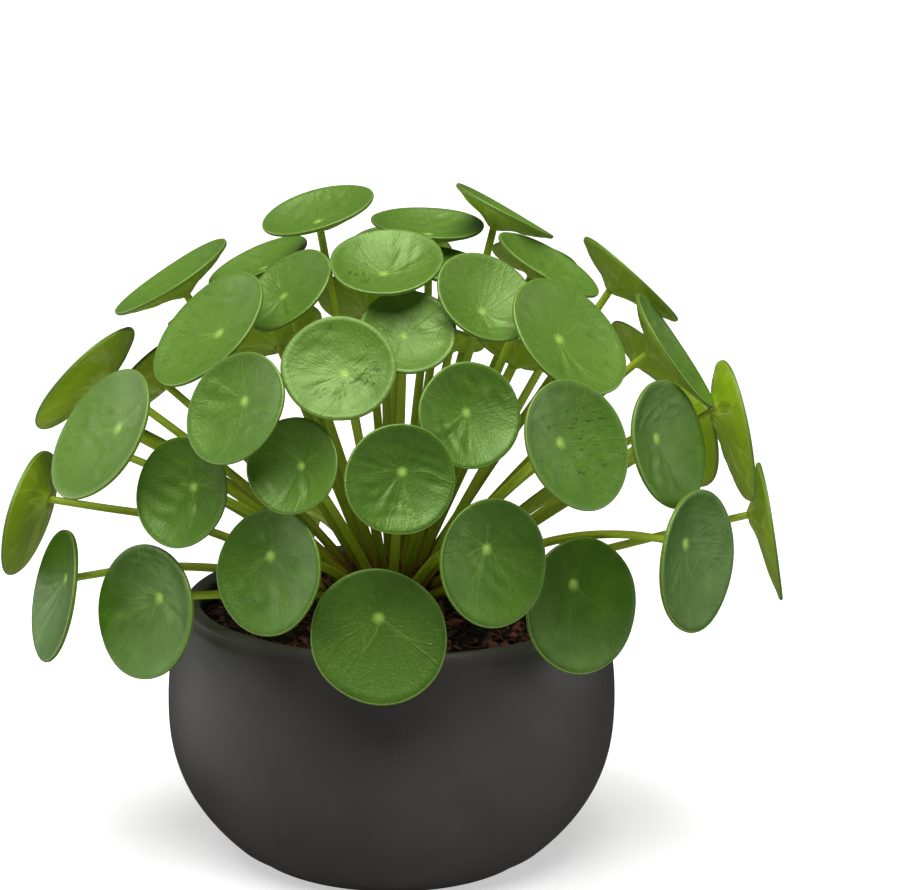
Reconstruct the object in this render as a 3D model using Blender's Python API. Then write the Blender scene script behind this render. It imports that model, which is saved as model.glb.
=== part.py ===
"""Potted chinese money plant, in metres, +Z up.

A turned bowl holds potting soil. A short crown stands in the soil, and every leaf grows from it:
a long round stalk that carries a nearly round, dished blade near its middle.
The origin is the centre of the pot's flat base, and the front of the plant is towards -Y.
"""
import math

import bmesh
import bpy
import numpy as np

MM = 0.001
GAP = 0.3 * MM
SHARP_EDGE = math.radians(50)

# ---- pot (a body turned about Z) ----
POT_HEIGHT = 106 * MM
POT_BASE_RADIUS = 60 * MM
POT_WIDEST_RADIUS = 92 * MM
POT_WIDEST_HEIGHT = 64 * MM
LIP_OUTER_RADIUS = 85 * MM
LIP_THICKNESS = 6.4 * MM
WALL_THICKNESS = 7 * MM
FLOOR_THICKNESS = 8 * MM
POT_SEGMENTS = 40
BELLY_FULLNESS = 2.5        # exponent of the curve from the widest ring down to the base
BASE_EDGE_RADIUS = 3 * MM
INNER_CORNER = 8 * MM       # where the inside begins to turn in to the floor

# ---- soil ----
SOIL_BELOW_RIM = 12 * MM
SOIL_MOUND = 2.5 * MM       # how much higher the soil stands next to the crown
SOIL_LUMPS = 0.8 * MM
SOIL_SIDE_GAP = 0.5 * MM    # more than the plain gap, because turned facets are not quite round
SOIL_RINGS = (0.75, 0.5, 0.25)      # of the way from the crown to the wall
PIT_GAP = 0.4 * MM          # between the soil and the crown
SOIL_SEGMENTS = 32

# ---- crown (the stem clump that the stalks grow from) ----
CROWN_RADIUS = 22 * MM
CROWN_CENTRE_BELOW_RIM = 10 * MM
CROWN_SIDE = ((0.45, -14 * MM), (0.8, -9 * MM), (1.0, -2 * MM))     # share of its radius, height
CROWN_TOP = (5, 75, 5)      # its round top: from this many degrees to this many, in so many steps
CROWN_SEGMENTS = 24
LOWEST_FOOT = 12            # degrees above the horizon, seen from the crown's centre
FOOT_RISE = (24, 0.62)      # a foot stands at 24 degrees, plus 0.62 of its blade's own rise
FOOT_ROUNDS = 400           # steps in which the feet are moved apart
FOOT_STEP = 0.4

# ---- leaves ----
STALK_FOOT_RADIUS = 2.2 * MM
STALK_TIP_RADIUS = 1.65 * MM
FOOT_CAP = 0.25 * MM        # how far the rounded end of a foot stands out
STALK_SIDES = 6
STALK_STATIONS = 7
BLADE_SIDES = 2 * STALK_SIDES
BLADE_THICKNESS = 1.3 * MM
DISH_POWER = 1.5            # 1 is a straight funnel, 2 is a round bowl
JOINT_BELOW_DOT = 2.6 * MM
OUTLINE_WAVE = 0.02         # how far from a true circle the edge is
FLARE_SHARE = 0.15          # where the stalk widens into the underside, of the way to the edge
ARCH = 0.10                 # rise of a level stalk's middle, of its length
LOW_ARCH = 0.012            # more rise for each degree that the stalk lies under LOW_STALK
LOW_STALK = 14
CLEARANCE = 0.6 * MM        # between one stalk and the next
BLADE_CLEARANCE = 2.6 * MM  # between a stalk and the middle of another leaf's blade
BLADE_SAMPLES = ((0.2, 4), (0.42, 8), (0.64, 13), (0.84, 18), (1.0, 22))    # ring's share, points
STALK_PUSH = 0.5            # of the missing gap, in each step
BLADE_PUSH = 0.35
SETTLED = 0.01 * MM         # the stalks are clear when no push is larger
ROUNDS = 180                # steps in which the stalks are bent clear of each other
SEARCH_EVERY = 12           # steps between two searches for stretches that lie near each other
SEARCH_MARGIN = 5 * MM
STALK_STIFFNESS = 0.04      # how strongly a stalk bent aside evens out in each step

# Each leaf: across (to the right), forward, above the rim, blade width (all mm), then the way
# its face looks: turn in degrees (0 forward, 90 right, 180 back) and tip above the horizon.
# Then its dot's place, across and up from the middle in percent of the radius, its dish's depth
# in percent of the width, and how much more than most its stalk arches, in percent of its length.
LEAVES = [
    (-32, 0, 160, 46, -52, 69, 5, -10, 12, 0),
    (12, -25, 152, 46, 25, 82, 0, -5, 13, 2),
    (44, -20, 158, 45, 98, 62, 0, 5, 14, -2),
    (61, 15, 142, 46, 76, 60, 0, 5, 14, 1),
    (96, -23, 130, 50, 106, 47, 0, 15, 14, 0),
    (112, 17, 108, 53, 84, 36, 0, 20, 13, 4),
    (-91, 0, 132, 52, -81, 57, 0, 5, 14, 2),
    (-58, -25, 135, 44, -72, 65, 0, 5, 12, -2),
    (-3, 46, 147, 43, -4, 63, -5, -10, 14, 0),
    (-42, 35, 133, 40, -50, 43, -20, -10, 10, 2),
    (-72, 50, 120, 54, -55, 43, 10, 5, 10, -1),
    (36, 55, 135, 41, 28, 45, -10, -20, 14, 1),
    (68, 60, 121, 52, 46, 41, -10, 5, 9, -2),
    (-19, 95, 114, 42, -3, 33, 10, -5, 9, 0),
    (6, 65, 123, 37, 0, 43, -10, 0, 13, 2),
    (-58, 94, 98, 44, -37, 27, 5, 20, 10, -2),
    (-113, 55, 79, 56, -55, 32, 15, 20, 9, 1),
    (-126, 0, 90, 56, -110, 38, 0, 20, 12, -1),
    (-150, 0, 33, 53, -103, 12, 0, 30, 10, 7),
    (-135, 35, 8, 54, -68, 14, 0, 30, 8, -4),
    (-95, 70, 12, 53, -43, 12, 15, 25, 9, -11),
    (-80, 75, 61, 43, -34, 20, 10, 15, 14, 1),
    (-36, 100, 78, 37, -24, 24, 10, 5, 14, -2),
    (-45, 100, 37, 48, -35, 13, -15, 25, 11, 2),
    (5, 120, 78, 41, 16, 16, 10, 15, 13, 0),
    (30, 100, 98, 40, 20, 24, 0, 10, 12, 2),
    (70, 102, 88, 49, 40, 23, -20, 10, 11, -2),
    (40, 108, 44, 47, 32, 13, -5, 25, 8, 8),
    (-3, 105, 14, 51, 0, 17, 0, 30, 5, 0),
    (75, 70, 17, 54, 38, 9, -10, 35, 5, 2),
    (108, 55, 78, 51, 56, 17, -15, 15, 9, -7),
    (119, 68, 35, 55, 55, 5, -20, 30, 6, 12),
    (138, 10, 74, 57, 98, 11, 0, 35, 12, -6),
    (155, 0, 30, 56, 88, 11, 0, 30, 10, -8),
    (123, -36, 62, 46, 118, 8, 5, 30, 12, 6),
    (104, -28, 98, 40, 118, 42, -5, 10, 13, 2),
    (50, -8, 102, 33, 140, 55, 0, -5, 12, 0),
    (-102, -28, 86, 46, -120, 38, 5, 10, 12, 1),
    (-50, 5, 112, 42, -150, 50, -5, 0, 13, -2),
    (-12, -22, 121, 42, 180, 50, 0, 0, 12, 2),
    (20, 2, 139, 34, 30, 75, -5, -10, 13, 0),
    (57, -42, 135, 38, 150, 60, 5, -10, 12, -1),
    (-123, -8, 56, 40, -115, 20, 0, 25, 11, 2),
    (-80, -22, 117, 34, -95, 60, 10, -10, 13, 0),
    (22, 20, 113, 28, 150, 60, -5, -10, 12, 2),
    (-60, -70, 118, 44, -138, 48, 0, 0, 12, -2),
    (0, -70, 133, 44, 180, 52, 5, 0, 13, 1),
    (60, -68, 108, 44, 140, 46, -5, 5, 12, -1),
    (-124, -45, 59, 48, -112, 20, 0, 25, 10, 2),
    (118, -68, 48, 42, 122, 16, 5, 30, 11, -2),
    (-73, -85, 61, 42, -140, 26, -5, 20, 12, 1),
    (-26, -92, 78, 42, -165, 32, 0, 15, 12, -1),
    (34, -100, 55, 40, 162, 24, 5, 20, 12, 2),
    (80, -95, 42, 48, 140, 16, -5, 25, 10, 0),
    (2, -115, 22, 44, 180, 12, 0, 30, 9, -1),
    (-53, -108, 3, 38, -152, 8, 5, 30, 9, 2),
]


def unit(vector):
    return vector / np.linalg.norm(vector)


def new_material(name, colour, roughness):
    material = bpy.data.materials.new(name)
    material.use_nodes = True
    shader = material.node_tree.nodes["Principled BSDF"]
    shader.inputs["Base Color"].default_value = (*colour, 1.0)
    shader.inputs["Roughness"].default_value = roughness
    shader.inputs["Metallic"].default_value = 0.0
    return material


def add_object(name, bm, material, parent):
    """Make a mesh object from bm, shaded smooth, and hang it on the parent empty."""
    bmesh.ops.recalc_face_normals(bm, faces=bm.faces)
    mesh = bpy.data.meshes.new(name)
    bm.to_mesh(mesh)
    bm.free()
    mesh.shade_smooth()
    mesh.set_sharp_from_angle(angle=SHARP_EDGE)
    mesh.materials.append(material)
    piece = bpy.data.objects.new(name, mesh)
    piece.parent = parent
    bpy.context.collection.objects.link(piece)
    return piece


def turned_body(profile, segments):
    """Turn (radius, height) points about Z. The first and last point lie on the axis."""
    bm = bmesh.new()
    rings = []
    for radius, height in profile[1:-1]:
        ring = []
        for step in range(segments):
            angle = 2 * math.pi * step / segments
            ring.append(bm.verts.new((radius * math.cos(angle), radius * math.sin(angle), height)))
        rings.append(ring)
    join_rings(bm, rings)
    close_end(bm, rings[0], (0, 0, profile[0][1]))
    close_end(bm, rings[-1], (0, 0, profile[-1][1]))
    return bm


def join_rings(bm, rings):
    for lower, upper in zip(rings, rings[1:]):
        count = len(lower)
        for step in range(count):
            after = (step + 1) % count
            bm.faces.new((lower[step], lower[after], upper[after], upper[step]))


def close_end(bm, ring, centre):
    """Close a ring with triangles to one centre point."""
    middle = bm.verts.new(centre)
    for step, vert in enumerate(ring):
        bm.faces.new((vert, ring[(step + 1) % len(ring)], middle))


# ---- pot ----

def belly_radius(height, offset):
    """Radius of the pot's side at a height, moved inwards by offset."""
    widest = POT_WIDEST_RADIUS - offset
    if height < POT_WIDEST_HEIGHT:
        share = (POT_WIDEST_HEIGHT - height) / POT_WIDEST_HEIGHT
        narrowing = POT_WIDEST_RADIUS - POT_BASE_RADIUS
        return widest - narrowing * share ** BELLY_FULLNESS
    share = (height - POT_WIDEST_HEIGHT) / (POT_HEIGHT - POT_WIDEST_HEIGHT)
    return widest - (POT_WIDEST_RADIUS - LIP_OUTER_RADIUS) * share ** 2


def arc(centre_radius, centre_height, radius, start, end, steps):
    """Points of a round edge, from the start angle to the end angle in degrees."""
    points = []
    for step in range(steps + 1):
        angle = math.radians(start + (end - start) * step / steps)
        points.append((centre_radius + radius * math.cos(angle), centre_height + radius * math.sin(angle)))
    return points


def build_pot(parent):
    edge = BASE_EDGE_RADIUS
    lip = LIP_THICKNESS / 2
    lip_centre = LIP_OUTER_RADIUS - lip
    profile = [(0, 0)]
    profile += arc(POT_BASE_RADIUS - edge, edge, edge, -90, -20, 2)
    for height in np.linspace(2.3 * edge, POT_HEIGHT - lip, 11)[:-1]:
        profile.append((belly_radius(height, 0), height))
    profile += arc(lip_centre, POT_HEIGHT - lip, lip, 0, 180, 6)
    for height in np.linspace(POT_HEIGHT - 3 * lip, FLOOR_THICKNESS + INNER_CORNER, 7):
        profile.append((belly_radius(height, WALL_THICKNESS), height))
    profile.append((POT_BASE_RADIUS - WALL_THICKNESS, FLOOR_THICKNESS))
    profile.append((0, FLOOR_THICKNESS))
    bm = turned_body(profile, POT_SEGMENTS)
    clay = new_material("matte_charcoal_clay", (0.035, 0.033, 0.033), 0.62)
    return add_object("pot", bm, clay, parent)


# ---- soil and crown ----

def soil_height(radius, angle):
    """Height of the soil's top: higher at the crown, with a few soft lumps."""
    wall = belly_radius(POT_HEIGHT - SOIL_BELOW_RIM, WALL_THICKNESS)
    share = radius / wall
    lumps = SOIL_LUMPS * math.sin(3 * angle + 1) * math.sin(math.pi * share)
    return POT_HEIGHT - SOIL_BELOW_RIM + SOIL_MOUND * (1 - share) + lumps


def crown_profile(clearance):
    """Side of the crown, from its underside up to where its round top begins."""
    centre = POT_HEIGHT - CROWN_CENTRE_BELOW_RIM
    radius = CROWN_RADIUS + clearance
    return [(radius * share, centre + height - clearance) for share, height in CROWN_SIDE]


def build_crown(parent):
    centre = POT_HEIGHT - CROWN_CENTRE_BELOW_RIM
    side = crown_profile(0)
    top = arc(0, centre, CROWN_RADIUS, *CROWN_TOP)
    profile = [(0, side[0][1])] + side + top + [(0, centre + CROWN_RADIUS)]
    bm = turned_body(profile, CROWN_SEGMENTS)
    bark = new_material("brown_green_crown", (0.16, 0.09, 0.03), 0.7)
    return add_object("crown", bm, bark, parent)


def build_soil(parent):
    """The soil fills the pot, 0.3 mm off its wall, with a pit that holds the crown."""
    wall = WALL_THICKNESS + GAP
    bottom = FLOOR_THICKNESS + GAP
    top = POT_HEIGHT - SOIL_BELOW_RIM
    profile = [(0, bottom), (POT_BASE_RADIUS - wall - 2 * SOIL_SIDE_GAP, bottom)]
    for height in np.linspace(FLOOR_THICKNESS + INNER_CORNER, top, 6):
        profile.append((belly_radius(height, wall) - SOIL_SIDE_GAP, height))
    outer_rings = len(profile) - 1
    pit = list(reversed(crown_profile(PIT_GAP)))
    pit_radius = pit[0][0]
    for share in SOIL_RINGS:
        profile.append((pit_radius + share * (profile[outer_rings][0] - pit_radius), top))
    first_top = outer_rings
    profile.append((pit_radius, top))
    last_top = len(profile) - 2
    profile += pit
    profile.append((0, pit[-1][1]))
    bm = turned_body(profile, SOIL_SEGMENTS)
    bm.verts.ensure_lookup_table()
    for ring in range(first_top, last_top + 1):
        for vert in bm.verts[ring * SOIL_SEGMENTS:(ring + 1) * SOIL_SEGMENTS]:
            radius = math.hypot(vert.co.x, vert.co.y)
            vert.co.z = soil_height(radius, math.atan2(vert.co.y, vert.co.x))
    soil = new_material("dark_potting_soil", (0.035, 0.018, 0.012), 0.95)
    return add_object("soil", bm, soil, parent)


# ---- leaves ----

class Blade:
    """The round, dished part of a leaf. Its stalk joins it at the dot, off its middle."""

    def __init__(self, across, forward, above_rim, width, turn, tip, dot_across, dot_up, dish, arch):
        turn = math.radians(turn)
        tip = math.radians(tip)
        self.centre = np.array((across * MM, -forward * MM, POT_HEIGHT + above_rim * MM))
        self.radius = width * MM / 2
        level = math.cos(tip)
        self.face = np.array((level * math.sin(turn), -level * math.cos(turn), math.sin(tip)))
        self.up = unit(np.array((0, 0, 1)) - self.face[2] * self.face)
        self.side = np.cross(self.up, self.face)
        self.depth = dish / 100 * width * MM
        self.to_dot = self.radius / 100 * (dot_across * self.side + dot_up * self.up)
        self.dot = self.centre + self.to_dot - self.depth * self.face
        self.wave_start = across + forward
        self.more_arch = arch / 100

    def point(self, angle, share, below=0.0):
        """A point on the top face: share 0 is the dot and 1 the edge. below goes into the blade."""
        outline = self.radius * (1 + OUTLINE_WAVE * math.cos(2 * angle + self.wave_start))
        flat = (outline * math.cos(angle)) * self.side + (outline * math.sin(angle)) * self.up
        height = self.depth * share ** DISH_POWER - below
        return self.dot + share * (flat - self.to_dot) + height * self.face

    def joint(self):
        """Where the stalk's axis ends, just under the blade."""
        return self.dot - JOINT_BELOW_DOT * self.face


def separate_directions(directions, smallest_angle, lowest):
    """Turn unit directions apart until each pair is at least smallest_angle apart."""
    directions = directions.copy()
    for _ in range(FOOT_ROUNDS):
        push = np.zeros_like(directions)
        for index, direction in enumerate(directions):
            away = direction - directions
            distance = np.linalg.norm(away, axis=1)
            near = (distance < smallest_angle) & (distance > 0)
            strength = (smallest_angle - distance[near]) / distance[near]
            push[index] = (away[near] * strength[:, None]).sum(axis=0)
        if not push.any():
            break
        directions += FOOT_STEP * push
        directions[:, 2] = np.maximum(directions[:, 2], lowest)
        directions /= np.linalg.norm(directions, axis=1)[:, None]
    return directions


def stalk_feet(blades):
    """A foot for each stalk on the crown's round top, on the side where its blade hangs."""
    centre = np.array((0, 0, POT_HEIGHT - CROWN_CENTRE_BELOW_RIM))
    wanted = []
    for blade in blades:
        direction = unit(blade.joint() - centre)
        rise = math.asin(direction[2])
        foot_rise = math.radians(FOOT_RISE[0]) + FOOT_RISE[1] * rise
        flat = unit(direction[:2])
        wanted.append((*(flat * math.cos(foot_rise)), math.sin(foot_rise)))
    spacing = (2 * STALK_FOOT_RADIUS + CLEARANCE) / CROWN_RADIUS
    lowest = math.sin(math.radians(LOWEST_FOOT))
    directions = separate_directions(np.array(wanted), spacing, lowest)
    return centre + directions * (CROWN_RADIUS + GAP + FOOT_CAP), directions


def stalk_route(foot, blade):
    """Points of one stalk from its foot to its blade, arched more the lower the leaf hangs."""
    end = blade.joint()
    span = end - foot
    length = np.linalg.norm(span)
    rise = math.degrees(math.asin(span[2] / length))
    arch = ARCH * math.cos(math.radians(rise)) ** 2 + LOW_ARCH * max(0.0, LOW_STALK - rise)
    bend = foot + 0.5 * span + np.array((0, 0, (arch + blade.more_arch) * length))
    points = []
    for share in np.linspace(0, 1, STALK_STATIONS):
        points.append((1 - share) ** 2 * foot + 2 * share * (1 - share) * bend + share ** 2 * end)
    return np.array(points)


def closest_between(start_a, end_a, start_b, end_b):
    """Closest shares along each pair of straight stretches, row by row."""
    run_a = end_a - start_a
    run_b = end_b - start_b
    between = start_a - start_b
    aa = (run_a * run_a).sum(axis=1)
    bb = (run_b * run_b).sum(axis=1)
    ab = (run_a * run_b).sum(axis=1)
    a_between = (run_a * between).sum(axis=1)
    b_between = (run_b * between).sum(axis=1)
    spread = np.maximum(aa * bb - ab * ab, 1e-18)
    share_a = np.clip((ab * b_between - bb * a_between) / spread, 0, 1)
    share_b = np.clip((ab * share_a + b_between) / bb, 0, 1)
    share_a = np.clip((ab * share_b - a_between) / aa, 0, 1)
    return share_a, share_b


def blade_samples(blades):
    """Points spread over every blade, and the number of the leaf each belongs to."""
    points = []
    owners = []
    for owner, blade in enumerate(blades):
        for share, count in BLADE_SAMPLES:
            for step in range(count):
                points.append(blade.point(2 * math.pi * step / count, share, BLADE_THICKNESS / 2))
                owners.append(owner)
    return np.array(points), np.array(owners)


def from_samples(samples, starts, run):
    """How far along each stretch it passes each sample, and the way from the sample to it."""
    to_sample = samples - starts
    along = np.clip((to_sample * run).sum(axis=-1) / (run * run).sum(axis=-1), 0, 1)
    return along, along[..., None] * run - to_sample


def shortfall(away, gap, strength):
    """What to multiply each away vector by, to bring it towards the gap. Zero where it is clear."""
    distance = np.maximum(np.linalg.norm(away, axis=1), 1e-6)
    return (strength * np.maximum(gap - distance, 0) / distance)[:, None]


def grow_round_each_other(routes, blades):
    """Bend the stalks aside from where each would grow alone, until none touches another leaf."""
    count, stations = routes.shape[:2]
    free = routes
    stalk_gap = 2 * STALK_FOOT_RADIUS + CLEARANCE
    blade_gap = STALK_TIP_RADIUS + BLADE_CLEARANCE
    samples, sample_owner = blade_samples(blades)
    owner = np.repeat(np.arange(count), stations - 1)
    first = np.tile(np.arange(stations - 1), count)
    pair_a, pair_b = np.triu_indices(len(owner), 1)
    different = owner[pair_a] != owner[pair_b]
    pair_a, pair_b = pair_a[different], pair_b[different]
    for turn in range(ROUNDS):
        starts = routes[owner, first]
        ends = routes[owner, first + 1]
        run = ends - starts
        if turn % SEARCH_EVERY == 0:
            along, away = from_samples(samples[None, :], starts[:, None], run[:, None])
            near = np.linalg.norm(away, axis=2) < blade_gap + SEARCH_MARGIN
            rows, columns = np.nonzero(near & (owner[:, None] != sample_owner[None, :]))
            share_a, share_b = closest_between(starts[pair_a], ends[pair_a], starts[pair_b], ends[pair_b])
            away = starts[pair_a] + share_a[:, None] * run[pair_a]
            away = away - starts[pair_b] - share_b[:, None] * run[pair_b]
            near = np.linalg.norm(away, axis=1) < stalk_gap + SEARCH_MARGIN
            left, right = pair_a[near], pair_b[near]
        push = np.zeros_like(routes)
        share_a, share_b = closest_between(starts[left], ends[left], starts[right], ends[right])
        away = starts[left] + share_a[:, None] * run[left]
        away = away - starts[right] - share_b[:, None] * run[right]
        step = away * shortfall(away, stalk_gap, STALK_PUSH)
        for sign, pair, share in ((1, left, share_a), (-1, right, share_b)):
            np.add.at(push, (owner[pair], first[pair]), sign * step * (1 - share)[:, None])
            np.add.at(push, (owner[pair], first[pair] + 1), sign * step * share[:, None])
        along, away = from_samples(samples[columns], starts[rows], run[rows])
        step = away * shortfall(away, blade_gap, BLADE_PUSH)
        np.add.at(push, (owner[rows], first[rows]), step * (1 - along)[:, None])
        np.add.at(push, (owner[rows], first[rows] + 1), step * along[:, None])
        push[:, 0] = 0
        push[:, -1] = 0
        if np.abs(push).max() < SETTLED:
            break
        routes = routes + push
        aside = routes - free
        routes[:, 1:-1] += STALK_STIFFNESS * (aside[:, :-2] + aside[:, 2:] - 2 * aside[:, 1:-1])
    return routes


def stalk_rings(bm, route, blade, foot_direction):
    """Rings of points along the stalk. The first lies flat on the crown, the last under the blade."""
    rings = []
    last = len(route) - 1
    for station, point in enumerate(route):
        before = route[max(station - 1, 0)]
        after = route[min(station + 1, last)]
        run = unit(after - before)
        if station == 0:
            run = foot_direction
        if station == last:
            run = unit(run + blade.face)
        up = unit(blade.up - np.dot(blade.up, run) * run)
        side = np.cross(up, run)
        share = station / last
        radius = STALK_FOOT_RADIUS + (STALK_TIP_RADIUS - STALK_FOOT_RADIUS) * share
        ring = []
        for step in range(STALK_SIDES):
            angle = 2 * math.pi * step / STALK_SIDES
            ring.append(bm.verts.new(point + radius * (math.cos(angle) * side + math.sin(angle) * up)))
        rings.append(ring)
    return rings


def blade_ring(bm, blade, share, below):
    ring = []
    for step in range(BLADE_SIDES):
        angle = 2 * math.pi * step / BLADE_SIDES
        ring.append(bm.verts.new(blade.point(angle, share, below)))
    return ring


def join_stalk_to_blade(bm, small, large):
    """Join a ring to one with twice as many points, three triangles to each side."""
    count = len(small)
    for step in range(count):
        after = (step + 1) % count
        middle = 2 * step + 1
        beyond = (2 * step + 2) % len(large)
        bm.faces.new((small[step], large[middle], large[2 * step]))
        bm.faces.new((small[step], small[after], large[middle]))
        bm.faces.new((small[after], large[beyond], large[middle]))


def build_leaf(name, blade, route, foot_direction, material, parent):
    """One leaf: a closed skin from the stalk's foot, up the stalk, under and over the blade."""
    bm = bmesh.new()
    stalk = stalk_rings(bm, route, blade, foot_direction)
    join_rings(bm, stalk)
    close_end(bm, stalk[0], route[0] - FOOT_CAP * foot_direction)
    under = [
        blade_ring(bm, blade, FLARE_SHARE, BLADE_THICKNESS + 0.5 * MM),
        blade_ring(bm, blade, 0.6, BLADE_THICKNESS),
        blade_ring(bm, blade, 0.985, BLADE_THICKNESS),
    ]
    join_stalk_to_blade(bm, stalk[-1], under[0])
    top = [blade_ring(bm, blade, 1.0, 0.3 * MM), blade_ring(bm, blade, 0.6, 0)]
    join_rings(bm, under + top)
    close_end(bm, top[-1], blade.dot)
    return add_object(name, bm, material, parent)


def build_leaves(parent):
    green = new_material("green_leaf", (0.08, 0.22, 0.03), 0.4)
    blades = [Blade(*row) for row in LEAVES]
    feet, directions = stalk_feet(blades)
    routes = np.array([stalk_route(foot, blade) for foot, blade in zip(feet, blades)])
    routes = grow_round_each_other(routes, blades)
    for number, blade in enumerate(blades):
        name = f"leaf_{number + 1:02d}"
        build_leaf(name, blade, routes[number], directions[number], green, parent)


def main():
    for old in list(bpy.data.objects):
        bpy.data.objects.remove(old)
    plant = bpy.data.objects.new("potted_plant", None)
    bpy.context.collection.objects.link(plant)
    build_pot(plant)
    build_soil(plant)
    build_crown(plant)
    build_leaves(plant)


main()
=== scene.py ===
"""Potted chinese money plant: the finished look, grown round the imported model.

Every packed leaf is read for its place, its outline and its stalk's path, and a fine leaf stands in
for it. The pot, the soil and the crown are made again with their real finish.
"""
import math
import random

import bpy
import numpy as np
from bpy.props import FloatProperty, FloatVectorProperty, IntProperty, PointerProperty
from mathutils import Matrix, Vector


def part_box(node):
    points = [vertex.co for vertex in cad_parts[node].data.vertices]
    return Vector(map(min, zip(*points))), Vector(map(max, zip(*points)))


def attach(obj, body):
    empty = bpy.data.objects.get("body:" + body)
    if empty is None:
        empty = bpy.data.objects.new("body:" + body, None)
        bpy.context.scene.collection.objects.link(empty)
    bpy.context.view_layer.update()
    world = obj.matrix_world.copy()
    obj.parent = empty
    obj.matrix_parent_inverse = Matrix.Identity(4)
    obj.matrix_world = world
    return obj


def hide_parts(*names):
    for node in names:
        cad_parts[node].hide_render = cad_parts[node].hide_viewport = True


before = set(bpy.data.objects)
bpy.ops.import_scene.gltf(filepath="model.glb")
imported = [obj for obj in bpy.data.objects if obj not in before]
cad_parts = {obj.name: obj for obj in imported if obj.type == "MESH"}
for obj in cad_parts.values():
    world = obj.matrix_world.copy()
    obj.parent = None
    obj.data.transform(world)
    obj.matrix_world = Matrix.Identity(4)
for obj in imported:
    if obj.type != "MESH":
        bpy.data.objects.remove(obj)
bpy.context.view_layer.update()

bl_info = {
    "name": "Potted Money Plant",
    "version": (1, 0, 0),
    "blender": (4, 5, 0),
    "location": "3D View > Sidebar > Money Plant",
    "description": "Builds a potted chinese money plant in its finished look",
    "category": "Add Mesh",
}

MM = 0.001
POT_LOW, POT_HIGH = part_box("pot")
CROWN_LOW, CROWN_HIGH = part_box("crown")
LEAF_NODES = sorted(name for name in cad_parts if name.startswith("leaf_"))

# How a packed leaf is built: from the dot, rings spread over the blade and then down the stalk.
UPPER_EDGE_RING = 2
UPPER_EDGE_DROP = 0.3 * MM      # how far that ring lies under the blade's top
BLADE_RINGS = 6
STALK_CUTS = (0.12, 0.26, 0.4, 0.54, 0.68, 0.82, 0.93)

STALK_SIDES = 12
SOIL_SEED = 5
LITTER_SEED = 11
CROWN_SEED = 3
SCALE_SEED = 8
LEAF_SEED = 100

# Leaves with plainer dark marks than the others, and how strong the marks are.
MARKED_LEAVES = {"leaf_14": 0.8, "leaf_27": 0.7, "leaf_09": 0.45, "leaf_24": 0.45, "leaf_16": 0.35}
FAINT_MARKS = 0.2


# ---- sizes and colours ----

def length(name, description, default):
    return FloatProperty(
        name=name, description=description, default=default, min=0, unit="LENGTH", precision=5
    )


def amount(name, description, default):
    return FloatProperty(name=name, description=description, default=default)


def colour(name, description, default):
    return FloatVectorProperty(
        name=name, description=description, default=default, min=0, max=1, size=3, subtype="COLOR"
    )


class PlantPotSettings(bpy.types.PropertyGroup):
    height: length("Height", "Height of the pot", POT_HIGH.z)
    widest_radius: length("Widest radius", "Radius of the belly", POT_HIGH.x)
    widest_height: length("Widest height", "Height of the belly's widest ring", 64 * MM)
    base_radius: length("Base radius", "Radius of the flat base", 60 * MM)
    lip_radius: length("Lip radius", "Outer radius at the lip", 85 * MM)
    lip: length("Lip", "Thickness of the rounded lip", 6.4 * MM)
    wall: length("Wall", "Thickness of the wall", 7 * MM)
    floor: length("Floor", "Thickness of the floor", 8 * MM)
    fullness: amount("Fullness", "How squarely the belly turns in to the base", 2.5)
    clay: colour("Clay", "Main colour of the matte clay", (0.0295, 0.0258, 0.0248))
    dusty: colour("Dusty", "Colour where the clay is rubbed or dusty", (0.062, 0.058, 0.054))


class PlantSoilSettings(bpy.types.PropertyGroup):
    below_rim: length("Below the rim", "How far the soil lies under the rim", 12 * MM)
    mound: length("Mound", "How much higher the soil stands at the crown", 2.5 * MM)
    roughness: length("Lumps", "Height of the soil's lumps", 1.3 * MM)
    chips: IntProperty(name="Chips", description="Bark chips on the soil", default=620, min=0)
    fibres: IntProperty(name="Fibres", description="Coir fibres on the soil", default=170, min=0)
    dark: colour("Dark soil", "Colour of the damp soil", (0.005, 0.003, 0.002))
    crumb: colour("Crumbs", "Colour of the drier crumbs", (0.030, 0.013, 0.009))
    chip: colour("Chip", "Colour of the reddish bark chips", (0.165, 0.042, 0.027))
    chip_dark: colour("Dark chip", "Colour of the old bark chips", (0.010, 0.005, 0.004))


class PlantCrownSettings(bpy.types.PropertyGroup):
    knobs: length("Knobs", "How far the crown's knobs stand out", 0.9 * MM)
    bark: colour("Bark", "Colour of the crown", (0.080, 0.036, 0.014))
    scale: colour("Scale", "Colour of the papery scales", (0.120, 0.030, 0.012))
    scale_length: length("Scale length", "Length of a papery scale", 13 * MM)


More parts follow.
